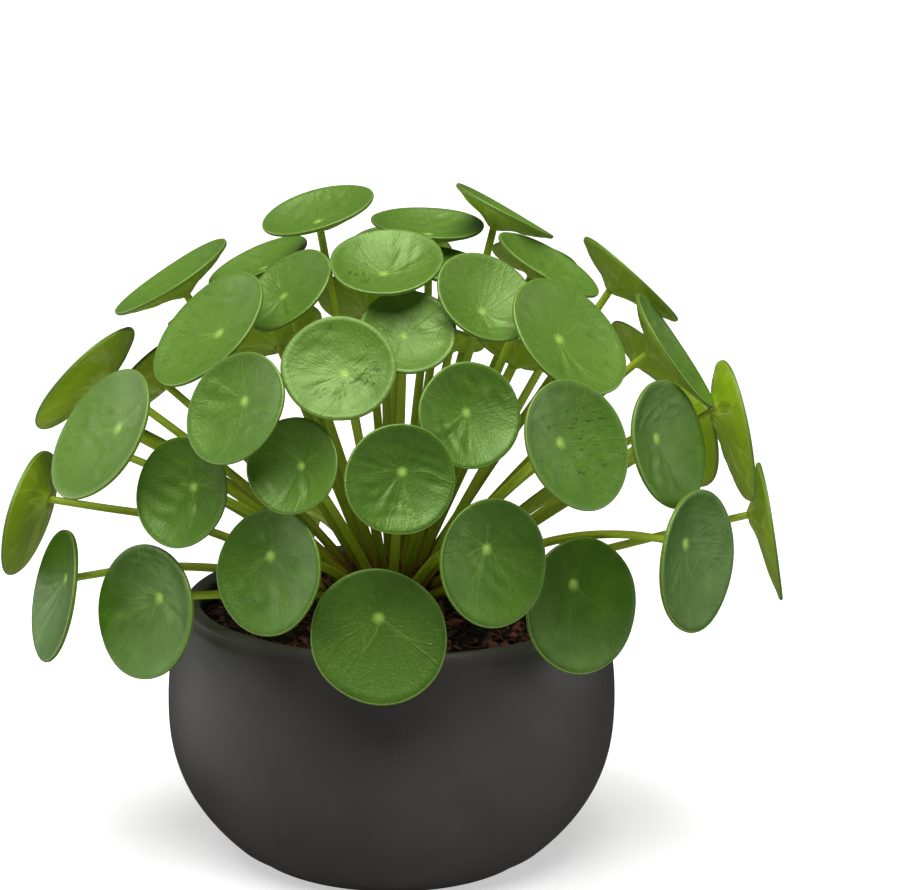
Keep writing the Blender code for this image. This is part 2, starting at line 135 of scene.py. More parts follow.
class PlantLeafSettings(bpy.types.PropertyGroup):
    thickness: length("Thickness", "Thickness of the blade", 1.7 * MM)
    edge: length("Edge", "Thickness of the rounded edge", 1.75 * MM)
    swelling: length("Swelling", "How much thicker the blade is round its stalk", 2.6 * MM)
    roll: length("Roll", "How far the edge rolls down", 0.6 * MM)
    bowl: amount("Bowl", "Share of the dish's depth that lies near its edge", 0.35)
    fan: length("Fan", "Height of the folds that fan out from the dot", 0.42 * MM)
    puckers: length("Puckers", "Height of the broad puckers", 0.24 * MM)
    warp: length("Warp", "How far the edge waves up and down", 0.3 * MM)
    lobes: amount("Lobes", "How uneven the outline is, as a share of the radius", 0.005)
    foot_radius: length("Foot radius", "Radius of a stalk at its foot", 2.15 * MM)
    tip_radius: length("Tip radius", "Radius of a stalk under its blade", 1.55 * MM)
    fresh: colour("Fresh green", "Top of a young leaf", (0.078, 0.160, 0.016))
    deep: colour("Deep green", "Top of a full-grown leaf", (0.027, 0.084, 0.0006))
    # Painted sheen: a pale grey-green laid on raised folds, and in streaky, cloudy patches.
    sheen_and_pale_tone: colour("Bloom", "Pale waxy bloom on the raised folds", (0.112, 0.195, 0.036))
    # Dark green for the leaves' own dark marks, and painted shade in sunken folds and pleats.
    marks_and_fold_shade: colour("Crease", "Dark green in the folds", (0.014, 0.053, 0.0006))
    dot: colour("Dot", "The pale spot over the stalk", (0.240, 0.390, 0.060))
    # A pale line round the edge: partly the margin's own colour, partly painted highlight where the
    # rounded edge catches light.
    rim: colour("Rim", "The pale edge", (0.165, 0.225, 0.050))
    # Painted shade: a darker green on the side of the rounded edge, where it turns away from the light.
    edge_shade_green: colour("Edge", "Green of the rounded edge's lower half", (0.045, 0.105, 0.004))
    sheen: colour("Sheen", "Tint of the light on the waxy skin", (0.72, 1.00, 0.43))
    # The underside's pale olive is partly its own colour and partly painted brightness standing in for
    # light shining through the thin blade.
    under: colour("Underside", "Underside of a blade", (0.240, 0.360, 0.004))
    under_vein: colour("Underside veins", "Veins of the underside", (0.370, 0.460, 0.090))
    stalk: colour("Stalk", "Olive green of a stalk", (0.175, 0.245, 0.002))
    stalk_pale: colour("Pale stalk", "Stalk close under its blade", (0.300, 0.420, 0.020))
    stalk_red: colour("Red stalk", "Reddish brown near the foot", (0.170, 0.050, 0.006))


class PlantStageSettings(bpy.types.PropertyGroup):
    floor: colour("Floor", "Colour of the pale floor", (0.55, 0.55, 0.55))
    glow: amount("Floor glow", "How much light the floor gives off", 0.50)
    room: amount("Room light", "Strength of the even light from all round", 0.06)
    key: amount("Key light", "Strength of the broad light from above", 5.6)
    left: amount("Left light", "Power in watts of the soft box on the left", 6.0)
    right: amount("Right light", "Power in watts of the soft box on the right", 3.4)
    half: length("Half floor", "Half the width of the square floor", 60.0)
    camera_rise: FloatProperty(
        name="Camera rise",
        description="Angle above the horizon",
        default=math.radians(12.8),
        subtype="ANGLE",
    )
    camera_roll: FloatProperty(
        name="Camera roll",
        description="Lean of the camera",
        default=math.radians(0.9),
        subtype="ANGLE",
    )
    camera_distance: length("Camera distance", "From the camera to what it aims at", 1.1)
    aim_across: length("Aim across", "How far right of the pot's axis it aims", 22.8 * MM)
    aim_height: length("Aim height", "How high it aims", 169.7 * MM)
    lens: amount("Lens", "Focal length in millimetres", 108.4)


# ---- shader nodes from Python sums ----

class Wire:
    """An output socket. Python sums on it add Math nodes to its finish."""

    def __init__(self, finish, socket):
        self.finish = finish
        self.socket = socket

    def math(self, operation, *values):
        return self.finish.node("Math", {"operation": operation}, dict(enumerate(values)))

    def __add__(self, other):
        return self.math("ADD", self, other)

    def __sub__(self, other):
        return self.math("SUBTRACT", self, other)

    def __rsub__(self, other):
        return self.math("SUBTRACT", other, self)

    def __mul__(self, other):
        return self.math("MULTIPLY", self, other)

    def __abs__(self):
        return self.math("ABSOLUTE", self)

    __radd__ = __add__
    __rmul__ = __mul__

    def clamped(self):
        return self.finish.node("Math", {"operation": "ADD", "use_clamp": True}, {0: self, 1: 0.0})

    def band(self, low, high):
        """0 below low, 1 above high, and an even S between."""
        sockets = {"Value": self, "From Min": low, "From Max": high}
        return self.finish.node("MapRange", {"interpolation_type": "SMOOTHSTEP"}, sockets)


class Finish:
    """A new material. node() adds any node, and surface() sets the shader's sockets."""

    def __init__(self, name):
        self.material = bpy.data.materials.new(name)
        self.material.use_nodes = True
        self.tree = self.material.node_tree
        self.shader = self.tree.nodes["Principled BSDF"]

    def node(self, kind, settings, sockets, output=0):
        """Add a node: its settings first, then values or wires for its sockets."""
        node = self.tree.nodes.new("ShaderNode" + kind)
        for name, value in settings.items():
            setattr(node, name, value)
        for name, value in sockets.items():
            self.feed(node.inputs[name], value)
        return Wire(self, node.outputs[output])

    def feed(self, socket, value):
        if isinstance(value, Wire):
            self.tree.links.new(value.socket, socket)
        else:
            socket.default_value = value

    def surface(self, **sockets):
        for name, value in sockets.items():
            self.feed(self.shader.inputs[name.replace("_", " ").title().replace("Ior", "IOR")], value)
        return self.material

    def value(self, name):
        return self.node("Attribute", {"attribute_name": name}, {}, "Fac")

    def vector(self, name):
        return self.node("Attribute", {"attribute_name": name}, {}, "Vector")

    def place(self):
        return self.node("TexCoord", {}, {}, "Object")

    def stretched(self, vector, factors):
        return self.node("VectorMath", {"operation": "MULTIPLY"}, {0: vector, 1: factors})

    def noise(self, vector, scale, detail=2.0, roughness=0.5, distortion=0.0):
        sockets = {
            "Vector": vector,
            "Scale": scale,
            "Detail": detail,
            "Roughness": roughness,
            "Distortion": distortion,
        }
        return self.node("TexNoise", {}, sockets)

    def blend(self, factor, first, second):
        """First colour where the factor is 0, second where it is 1."""
        return self.node("Mix", {"data_type": "RGBA"}, {0: factor, 6: paint(first), 7: paint(second)}, 2)

    def brighter(self, tint, factor):
        return self.node("VectorMath", {"operation": "SCALE"}, {0: tint, "Scale": factor})

    def bump(self, height, distance, strength):
        return self.node("Bump", {}, {"Height": height, "Distance": distance, "Strength": strength})


def paint(value):
    """A colour with its alpha, for a colour socket. A wire stays as it is."""
    if isinstance(value, Wire):
        return value
    return (*value, 1.0)


# ---- meshes ----

class Skin:
    """A closed skin grown ring by ring, from its first end to its last, with named values."""

    def __init__(self):
        self.points = []
        self.faces = []
        self.values = {}
        self.count = 0
        self.last = None

    def add(self, points, **values):
        """Add a ring, or one point for an end, and return the numbers of its points."""
        points = np.atleast_2d(points)
        for name, value in values.items():
            value = np.asarray(value, dtype=float)
            if value.ndim == 0:
                value = np.full(len(points), value)
            self.values.setdefault(name, []).append(value)
        ring = np.arange(self.count, self.count + len(points))
        self.points.append(points)
        self.count += len(points)
        return ring

    def start(self, points, **values):
        self.last = self.add(points, **values)

    def grow(self, points, **values):
        """Add a ring and skin the way to it from the last one."""
        ring = self.add(points, **values)
        self.faces += skin_between(self.last, ring)
        self.last = ring

    def make(self, name, material, smooth=True):
        mesh = bpy.data.meshes.new(name)
        mesh.from_pydata(np.vstack(self.points).tolist(), [], self.faces)
        for value_name, rings in self.values.items():
            data = np.concatenate(rings)
            kind = "FLOAT_VECTOR" if data.ndim == 2 else "FLOAT"
            attribute = mesh.attributes.new(value_name, kind, "POINT")
            field = "vector" if data.ndim == 2 else "value"
            attribute.data.foreach_set(field, data.astype(np.float32).ravel())
        if smooth:
            mesh.shade_smooth()
        mesh.materials.append(material)
        piece = bpy.data.objects.new(name, mesh)
        bpy.context.scene.collection.objects.link(piece)
        return piece


def skin_between(lower, upper):
    """Faces between two rings. An end has one point, and a ring may have twice the other's points."""
    after_lower = np.roll(lower, -1)
    after_upper = np.roll(upper, -1)
    if len(lower) == 1:
        return np.stack([np.repeat(lower, len(upper)), after_upper, upper], axis=1).tolist()
    if len(upper) == 1:
        return np.stack([lower, after_lower, np.repeat(upper, len(lower))], axis=1).tolist()
    if len(lower) == len(upper):
        return np.stack([lower, after_lower, after_upper, upper], axis=1).tolist()
    if len(upper) == 2 * len(lower):
        even, odd, beyond = upper[0::2], upper[1::2], np.roll(upper, -2)[0::2]
        rows = [(lower, odd, even), (lower, after_lower, odd), (after_lower, beyond, odd)]
    else:
        even, odd, beyond = lower[0::2], lower[1::2], np.roll(lower, -2)[0::2]
        rows = [(even, odd, upper), (odd, after_upper, upper), (odd, beyond, after_upper)]
    return np.concatenate([np.stack(row, axis=1) for row in rows]).tolist()


def ring_angles(count):
    return np.arange(count) * 2 * math.pi / count


def unit_circle(count):
    """Points of a flat ring of radius 1."""
    angles = ring_angles(count)
    return np.stack([np.cos(angles), np.sin(angles), np.zeros(count)], axis=1)


def unit(vector):
    return vector / np.linalg.norm(vector)


def even_s(value, low, high):
    """0 below low, 1 above high, and an even S between."""
    part = np.clip((value - low) / (high - low), 0, 1)
    return part * part * (3 - 2 * part)


def random_waves(rng, places, shortest, longest, count=14):
    """A soft random field between about -1 and 1, from plane waves over the given places."""
    total = np.zeros(len(places))
    for _ in range(count):
        heading = rng.normal(size=places.shape[1])
        step = 2 * math.pi / rng.uniform(shortest, longest)
        total += np.cos(places @ (unit(heading) * step) + rng.uniform(0, 2 * math.pi))
    return total * math.sqrt(2 / count) / 2


def place_piece(piece, slot, *nodes):
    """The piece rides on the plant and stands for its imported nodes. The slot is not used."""
    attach(piece, "root")
    if nodes:
        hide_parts(*nodes)


# ---- pot ----

def belly(pot, height, inwards=0.0):
    """Radius of the pot's side at a height, moved inwards."""
    widest = pot.widest_radius - inwards
    if height < pot.widest_height:
        part = (pot.widest_height - height) / pot.widest_height
        return widest - (pot.widest_radius - pot.base_radius) * part ** pot.fullness
    part = (height - pot.widest_height) / (pot.height - pot.widest_height)
    return widest - (pot.widest_radius - pot.lip_radius) * part ** 2


def arc(middle_radius, middle_height, radius, start, end, steps):
    """(radius, height) points of a round edge, from the start angle to the end angle in degrees."""
    angles = np.radians(np.linspace(start, end, steps + 1))
    return [(middle_radius + radius * math.cos(a), middle_height + radius * math.sin(a)) for a in angles]


def pot_profile(pot):
    edge = 3 * MM
    lip = pot.lip / 2
    lip_height = pot.height - lip
    profile = [(pot.base_radius * 0.4, 0), (pot.base_radius * 0.8, 0)]
    profile += arc(pot.base_radius - edge, edge, edge, -90, -20, 6)
    for height in np.linspace(2 * edge, lip_height, 56)[:-1]:
        profile.append((belly(pot, height), height))
    profile += arc(pot.lip_radius - lip, lip_height, lip, 0, 180, 18)
    for height in np.linspace(lip_height - 2 * lip, pot.floor + 8 * MM, 24):
        profile.append((belly(pot, height, pot.wall), height))
    profile += [(pot.base_radius - pot.wall, pot.floor), (pot.base_radius * 0.4, pot.floor)]
    return profile


def clay_finish(pot):
    """Matte dark clay: a fine tooth, faint turning lines, and a dusty rub on the lip."""
    finish = Finish("matte_dark_clay")
    place = finish.place()
    tooth = finish.noise(place, 2600, 3)
    speckle = finish.noise(place, 700, 2)
    cloud = finish.noise(place, 14, 3)
    turning = finish.noise(finish.stretched(place, (6.0, 6.0, 900.0)), 1.0, 2)
    height = finish.node("SeparateXYZ", {}, {0: place}, "Z")
    lip = height.band(pot.height - pot.lip * 0.9, pot.height)
    dusty = (cloud.band(0.35, 0.8) * 0.35 + speckle.band(0.6, 0.75) * 0.25 + lip * 0.55).clamped()
    relief = tooth * 0.6 + speckle * 0.4 + turning * 0.5
    return finish.surface(
        base_color=finish.blend(dusty, pot.clay, pot.dusty),
        roughness=0.52 + (cloud - 0.5) * 0.12 + (speckle - 0.5) * 0.1,
        normal=finish.bump(relief, 0.12 * MM, 0.35),
        specular_ior_level=0.52,
    )


class PLANT_OT_pot(bpy.types.Operator):
    """Turn the dark clay pot"""

    bl_idname = "plant.pot"
    bl_label = "Pot"

    def execute(self, context):
        pot = context.scene.plant_pot
        circle = unit_circle(192)
        skin = Skin()
        skin.start((0, 0, 0))
        for radius, height in pot_profile(pot):
            skin.grow(circle * radius + (0, 0, height))
        skin.grow((0, 0, pot.floor))
        place_piece(skin.make("turned_pot", clay_finish(pot)), "pot", "pot")
        return {"FINISHED"}


# ---- soil ----

def soil_top(pot, soil, radius):
    """Height of the soil, without its lumps."""
    return pot.height - soil.below_rim + soil.mound * (1 - radius / pot.lip_radius)


def soil_finish(soil):
    """Damp, crumbly potting soil."""
    finish = Finish("damp_potting_soil")
    place = finish.place()
    crumbs = finish.noise(place, 420, 6, 0.65)
    patches = finish.noise(place, 60, 3)
    dry = crumbs.band(0.45, 0.72) * 0.8 + (patches - 0.5) * 0.5
    return finish.surface(
        base_color=finish.blend(dry.clamped(), soil.dark, soil.crumb),
        roughness=0.8 + (crumbs - 0.5) * 0.3,
        normal=finish.bump(crumbs, 1.2 * MM, 0.9),
        specular_ior_level=0.15,
    )


def chip_finish(soil):
    """Bark chips and fibres, each with its own shade, and grain along them."""
    finish = Finish("bark_chips_and_coir")
    place = finish.place()
    grain = finish.noise(finish.stretched(place, (900.0, 900.0, 260.0)), 1.0, 3)
    shade = finish.value("shade")
    tint = finish.blend((shade + (grain - 0.5) * 0.6).clamped(), soil.chip_dark, soil.chip)
    relief = finish.bump(grain, 0.4 * MM, 0.8)
    return finish.surface(base_color=tint, roughness=0.7 + grain * 0.25, normal=relief)


def soil_spot(rng, pot, soil):
    """A random place on the soil, outside the crown."""
    inner = CROWN_HIGH.x
    outer = belly(pot, pot.height - soil.below_rim, pot.wall) - 2 * MM
    radius = math.sqrt(rng.uniform(inner ** 2, outer ** 2))
    angle = rng.uniform(0, 2 * math.pi)
    height = soil_top(pot, soil, radius)
    return Vector((radius * math.cos(angle), radius * math.sin(angle), height))


def add_chip(skin, rng, spot):
    """A broken flake of bark: an uneven outline with a thinner lower side."""
    size = rng.uniform(1.2, 3.2) * MM * (1.0 + 0.7 * (rng.random() < 0.15))
    width = rng.uniform(0.35, 0.75)
    thickness = rng.uniform(0.25, 0.5) * size
    corners = rng.choice((5, 6, 7))
    turn = Matrix.Rotation(rng.uniform(0, 2 * math.pi), 3, "Z")
    tilt = Matrix.Rotation(rng.gauss(0, 0.45), 3, "X") @ Matrix.Rotation(rng.gauss(0, 0.45), 3, "Y")
    matrix = turn @ tilt
    lift = Vector((0, 0, rng.uniform(0.0, 1.6) * MM))
    shade = rng.random() ** 2
    for level, shrink in ((-0.5, 0.8), (0.1, 1.0), (0.5, rng.uniform(0.7, 0.95))):
        ring = []
        for corner in range(corners):
            angle = 2 * math.pi * corner / corners + rng.uniform(-0.25, 0.25)
            reach = size * shrink * rng.uniform(0.75, 1.1)
            flat = Vector((reach * math.cos(angle), width * reach * math.sin(angle), 0))
            flat.z = (level + rng.uniform(-0.12, 0.12)) * thickness
            ring.append(spot + lift + matrix @ flat)
        ring = np.array(ring)
        if level < 0:
            skin.start(ring.mean(axis=0), shade=shade)
        skin.grow(ring, shade=shade)
    skin.grow(ring.mean(axis=0), shade=shade)


def add_fibre(skin, rng, spot, outer):
    """A thin coir fibre that lies on the soil, lifts at its ends and turns along the pot's wall."""
    steps = 9
    run = rng.uniform(0.8, 2.2) * MM
    radius = rng.uniform(0.1, 0.22) * MM
    heading = rng.uniform(0, 2 * math.pi)
    bend = rng.uniform(-0.25, 0.25)
    lift = rng.uniform(0.6, 2.4) * MM
    shade = rng.uniform(0.3, 1.0)
    angles = ring_angles(5)
    point = np.array(spot) + (0, 0, 0.6 * MM)
    for step in range(steps):
        heading += bend + rng.uniform(-0.2, 0.2)
        along = np.array((math.cos(heading), math.sin(heading), 0))
        across = np.array((-along[1], along[0], 0))
        height = lift * (2 * step / (steps - 1) - 1) ** 2
        middle = point + (0, 0, height)
        ring = middle + radius * (np.outer(np.cos(angles), across) + np.outer(np.sin(angles), (0, 0, 1)))
        if step == 0:
            skin.start(middle - radius * along, shade=shade)
        skin.grow(ring, shade=shade)
        point = point + run * along
        if math.hypot(point[0], point[1]) > outer:
            heading = math.atan2(point[1], point[0]) + math.pi / 2
    skin.grow(middle + radius * along, shade=shade)


class PLANT_OT_soil(bpy.types.Operator):
    """Fill the pot with soil, bark chips and coir"""

    bl_idname = "plant.soil"
    bl_label = "Soil"

    def execute(self, context):
        pot = context.scene.plant_pot
        soil = context.scene.plant_soil
        gap = 0.8 * MM
        wall = belly(pot, pot.height - soil.below_rim, pot.wall) - gap
        circle = unit_circle(160)
        skin = Skin()
        skin.start((0, 0, pot.floor + gap))
        skin.grow(circle * (pot.base_radius - pot.wall - 2 * gap) + (0, 0, pot.floor + gap))
        for height in np.linspace(pot.floor + 8 * MM, pot.height - soil.below_rim, 9):
            skin.grow(circle * (belly(pot, height, pot.wall) - gap) + (0, 0, height))
        for radius in np.linspace(wall, 4 * MM, 46)[1:]:
            ring = circle * radius
            rng = np.random.default_rng(SOIL_SEED)
            lumps = random_waves(rng, ring[:, :2], 5 * MM, 14 * MM)
            lumps += 0.6 * random_waves(rng, ring[:, :2], 2 * MM, 5 * MM)
            ring[:, 2] = soil_top(pot, soil, radius) + soil.roughness * lumps
            skin.grow(ring)
        skin.grow((0, 0, soil_top(pot, soil, 0)))
        place_piece(skin.make("potting_soil", soil_finish(soil)), "soil", "soil")
        rng = random.Random(LITTER_SEED)
        chips = Skin()
        for _ in range(soil.chips):
            add_chip(chips, rng, soil_spot(rng, pot, soil))
        bark = chip_finish(soil)
        place_piece(chips.make("bark_chips", bark, smooth=False), "soil")
        fibres = Skin()
        for _ in range(soil.fibres):
            add_fibre(fibres, rng, soil_spot(rng, pot, soil), wall - 3 * MM)
        place_piece(fibres.make("coir_fibres", bark), "soil")
        return {"FINISHED"}


# ---- leaves ----

class PackedSkin:
    """A packed leaf's welded points, and the edges between them."""

    def __init__(self, node):
        raw = np.empty(len(node.data.vertices) * 3, np.float32)
        node.data.vertices.foreach_get("co", raw)
        welded, number = np.unique(raw.reshape(-1, 3).round(7), axis=0, return_inverse=True)
        self.points = welded.astype(float)
        self.neighbours = [set() for _ in self.points]
        ends = np.empty(len(node.data.edges) * 2, np.int32)
        node.data.edges.foreach_get("vertices", ends)
        self.edges = number.reshape(-1)[ends].reshape(-1, 2)
        for first, second in self.edges.tolist():
            self.neighbours[first].add(second)
            self.neighbours[second].add(first)

    def nearest(self, place):
        return int(np.argmin(np.linalg.norm(self.points - place, axis=1)))

    def rings(self, start):
        """Lists of point numbers, ring by ring, as they spread over the skin from one point."""
        ring = {start}
        seen = set(ring)
        rings = []
        while ring:
            rings.append(sorted(ring))
            ring = set().union(*(self.neighbours[point] for point in ring)) - seen
            seen |= ring
        return rings

    def middle_cut(self, members, start, end, part):
        """Middle of the skin between members, where a plane cuts it across the way from start to end."""
        run = end - start
        along = (self.points - start) @ run / (run @ run) - part
        inside = np.zeros(len(self.points), bool)
        inside[members] = True
        first, second = self.edges.T
        cut = inside[first] & inside[second] & (along[first] * along[second] < 0)
        low, high = first[cut], second[cut]
        weight = along[low] / (along[low] - along[high])
        return (self.points[low] + weight[:, None] * (self.points[high] - self.points[low])).mean(axis=0)


def smooth_route(points, spacing):
    """A smooth curve through the points, with a point about every spacing."""
    before = np.vstack([2 * points[0] - points[1], points[:-1]])
    after = np.vstack([points[1:], 2 * points[-1] - points[-2]])
    slopes = (after - before) / 2
    fine = []
    for index in range(len(points) - 1):
        start, end = points[index], points[index + 1]
        count = max(2, math.ceil(np.linalg.norm(end - start) / spacing))
        for part in np.arange(count) / count:
            fine.append(
                (2 * part ** 3 - 3 * part ** 2 + 1) * start
                + (part ** 3 - 2 * part ** 2 + part) * slopes[index]
                + (3 * part ** 2 - 2 * part ** 3) * end
                + (part ** 3 - part ** 2) * slopes[index + 1]
            )
    fine.append(points[-1])
    return np.array(fine)


class Leaf:
    """A packed leaf's stalk path, and its blade's plane, outline, depth and dot."""

    def __init__(self, name, number):
        packed = PackedSkin(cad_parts[name])
        from_foot = packed.rings(packed.nearest((0, 0, CROWN_HIGH.z - CROWN_HIGH.x)))
        from_dot = packed.rings(from_foot[-1][0])
        self.number = number
        self.rng = np.random.default_rng(LEAF_SEED + number)
        self.foot = packed.points[from_foot[0][0]]
        self.dot = packed.points[from_dot[0][0]]
        stalk = sorted(point for ring in from_dot[BLADE_RINGS:] for point in ring)
        start = packed.points[from_foot[1]].mean(axis=0)
        end = packed.points[from_dot[BLADE_RINGS]].mean(axis=0)
        cuts = [packed.middle_cut(stalk, start, end, part) for part in STALK_CUTS]
        self.stations = np.array([start, *cuts, end])
        edge = packed.points[from_dot[UPPER_EDGE_RING]]
        middle = edge.mean(axis=0)
        face = np.linalg.svd(edge - middle)[2][2]
        self.face = face * np.sign(np.dot(face, middle - self.dot))
        self.up = unit(np.array((0, 0, 1)) - self.face[2] * self.face)
        self.side = np.cross(self.up, self.face)
        across = (edge - middle) @ self.side
        upwards = (edge - middle) @ self.up
        angles = np.arctan2(upwards, across)
        waves = np.stack([np.ones(len(edge)), np.cos(2 * angles), np.sin(2 * angles)], axis=1)
        self.outline = np.linalg.lstsq(waves, np.hypot(across, upwards), rcond=None)[0]
        self.radius = self.outline[0]
        to_middle = middle + UPPER_EDGE_DROP * self.face - self.dot
        self.depth = np.dot(to_middle, self.face)
        self.offset = to_middle - self.depth * self.face
        self.age = float(even_s(math.degrees(math.asin(self.face[2])), 46, 8))
        self.folded = float(even_s(self.depth / self.radius, 0.08, 0.2))
        self.pucker_turn = self.rng.normal(0, 0.45)
        self.pucker_seed = int(self.rng.integers(1 << 30))
        self.marks = MARKED_LEAVES.get(name, FAINT_MARKS)
        self.fan = self.random_fan()
        self.lobes = self.rng.normal(size=(4, 2)) / 2
        self.warp_start = self.rng.uniform(0, 2 * math.pi)

    def random_fan(self):
        """Folds that fan out from the dot: (heading, bend, half width, height) of each."""
        count = int(self.rng.integers(4, 8))
        middle = -math.pi / 2 + self.rng.normal(0, 0.9)
        headings = middle + np.linspace(-1, 1, count) * self.rng.uniform(0.5, 1.5)
        headings += self.rng.normal(0, 0.08, count)
        bends = self.rng.normal(0, 0.25, count)
        half_widths = self.rng.uniform(0.09, 0.2, count)
        heights = self.rng.uniform(0.4, 1.0, count) * (-1.0) ** np.arange(count)
        return list(zip(headings, bends, half_widths, heights))

    def spread(self, angles, reach):
        """Places in the blade's plane, along and across the way its puckers run."""
        run = reach * self.radius
        turned = angles - self.pucker_turn
        own = np.full(len(angles), self.number)
        return np.stack([run * np.cos(turned), run * np.sin(turned), own], axis=1)

    def relief(self, leaf, angles, reach):
        """How far the skin stands out from the plain dish: (height, fold from -1 to 1)."""
        fan = np.zeros(len(angles))
        for heading, bend, half_width, height in self.fan:
            away = (angles - heading - bend * reach + math.pi) % (2 * math.pi) - math.pi
            fan += height * np.exp(-((away / half_width) ** 2))
        fan *= even_s(reach, 0.05, 0.55) * (1 - even_s(reach, 0.62, 0.97))
        field = self.spread(angles, reach)[:, :2] / (2.0, 1.0)
        ripples = random_waves(np.random.default_rng(self.pucker_seed), field, 4.0 * MM, 7.5 * MM)
        patches = random_waves(np.random.default_rng(self.pucker_seed + 1), field, 14 * MM, 30 * MM)
        ripples *= even_s(patches, -0.6, 0.6) * even_s(reach, 0.05, 0.35) * (1 - even_s(reach, 0.7, 0.97))
        warp = leaf.warp * np.cos(2 * angles + self.warp_start) * reach ** 2
        fold = self.folded * np.clip(0.7 * fan + 0.6 * ripples, -1, 1)
        return self.folded * (leaf.fan * fan + leaf.puckers * ripples) + warp, fold

    def blade(self, leaf, count, reach, below):
        """A ring of the blade: reach 0 is the dot and 1 the edge. below goes into the leaf."""
        angles = ring_angles(count)
        mean, lengthwise, slantwise = self.outline
        outline = mean + lengthwise * np.cos(2 * angles) + slantwise * np.sin(2 * angles)
        for order, (first, second) in enumerate(self.lobes, start=3):
            wave = first * np.cos(order * angles) + second * np.sin(order * angles)
            outline += leaf.lobes * self.radius * wave
        flat = np.outer(outline * np.cos(angles), self.side) + np.outer(outline * np.sin(angles), self.up)
        height, fold = self.relief(leaf, angles, reach)
        dish = self.depth * ((1 - leaf.bowl) * reach ** 1.5 + leaf.bowl * reach ** 4)
        dish -= leaf.roll * even_s(reach, 0.87, 1.0) ** 2
        points = self.dot + reach * (flat + self.offset) + np.outer(dish + height - below, self.face)
        return points, angles, fold


def blade_values(piece, angles, reach, fold, topside, stem):
    """What the finish reads at a ring of the blade."""
    ray = np.stack([np.cos(angles), np.sin(angles), np.full(len(angles), reach * piece.radius)], axis=1)
    ray[:, 2] += piece.number
    spread = piece.spread(angles, reach)
    return dict(
        ray=ray,
        spread=spread,
        reach=reach,
        topside=topside,
        stem=stem,
        along=1.0,
        fold=fold,
        age=piece.age,
        marks=piece.marks,
    )


def grow_stalk(skin, piece, leaf):
    """From the foot on the crown up to just under the dot."""
    angles = ring_angles(STALK_SIDES)
    route = smooth_route(piece.stations, 3.5 * MM)
    runs = np.gradient(route, axis=0)
    runs[0] = unit(route[0] - piece.foot)
    runs[-1] = unit(unit(runs[-1]) + piece.face)
    runs /= np.linalg.norm(runs, axis=1)[:, None]
    travelled = np.concatenate([[0], np.cumsum(np.linalg.norm(np.diff(route, axis=0), axis=1))])
    up = piece.up
    frames = []
    for run in reversed(runs):
        up = unit(up - np.dot(up, run) * run)
        frames.append((np.cross(up, run), up))
    frames.reverse()
    values = dict(reach=0.0, topside=0.0, fold=0.0, age=piece.age, marks=0.0, stem=1.0)
    plain = np.zeros((STALK_SIDES, 3))
    for index, (point, (side, up)) in enumerate(zip(route, frames)):
        part = travelled[index] / travelled[-1]
        radius = leaf.foot_radius + (leaf.tip_radius - leaf.foot_radius) * part ** 0.7
        ring = point + radius * (np.outer(np.cos(angles), side) + np.outer(np.sin(angles), up))
        own = np.full(STALK_SIDES, travelled[index] + piece.number)
        ray = np.stack([np.cos(angles), np.sin(angles), own], axis=1)
        if index == 0:
            skin.start(piece.foot, ray=ray[:1], spread=plain[:1], along=0.0, **values)
        skin.grow(ring, ray=ray, spread=plain, along=part, **values)


def under_depth(leaf, reach):
    """How far the underside lies below the top: thick round the stalk, thin at the edge."""
    thin = (leaf.thickness - leaf.edge) * even_s(reach, 0.5, 1)
    return leaf.thickness - thin + leaf.swelling * (1 - even_s(reach, 0.02, 0.5)) ** 2


def grow_blade(skin, piece, leaf):
    """From the stalk out under the blade, round its edge, and back over the top to the dot."""
    half = leaf.edge / 2
    edge_start = 1 - half / piece.radius
    under = []
    for count, reach, stem in ((24, 0.095, 0.6), (48, 0.13, 0.4), (48, 0.17, 0.2)):
        under.append((count, reach, under_depth(leaf, reach), stem))
    for reach in np.linspace(0.22, edge_start, 10):
        under.append((96, reach, under_depth(leaf, reach), 0.0))
    for count, reach, below, stem in under:
        points, angles, fold = piece.blade(leaf, count, reach, below)
        skin.grow(points, **blade_values(piece, angles, reach, fold, 0.0, stem))
    for angle in np.radians((-60, -30, 0, 30, 60)):
        reach = edge_start + half * math.cos(angle) / piece.radius
        points, angles, fold = piece.blade(leaf, 96, reach, half * (1 - math.sin(angle)))
        topside = float(even_s(math.sin(angle), -0.9, 0.6))
        skin.grow(points, **blade_values(piece, angles, reach, fold, topside, 0.0))
    over = [(96, reach) for reach in np.linspace(edge_start, 0.2, 38)]
    over += [(48, 0.16), (48, 0.12), (24, 0.085), (12, 0.045)]
    for count, reach in over:
        points, angles, fold = piece.blade(leaf, count, reach, 0.0)
        skin.grow(points, **blade_values(piece, angles, reach, fold, 1.0, 0.0))
    skin.grow(piece.dot, **blade_values(piece, np.zeros(1), 0.0, 0.0, 1.0, 0.0))


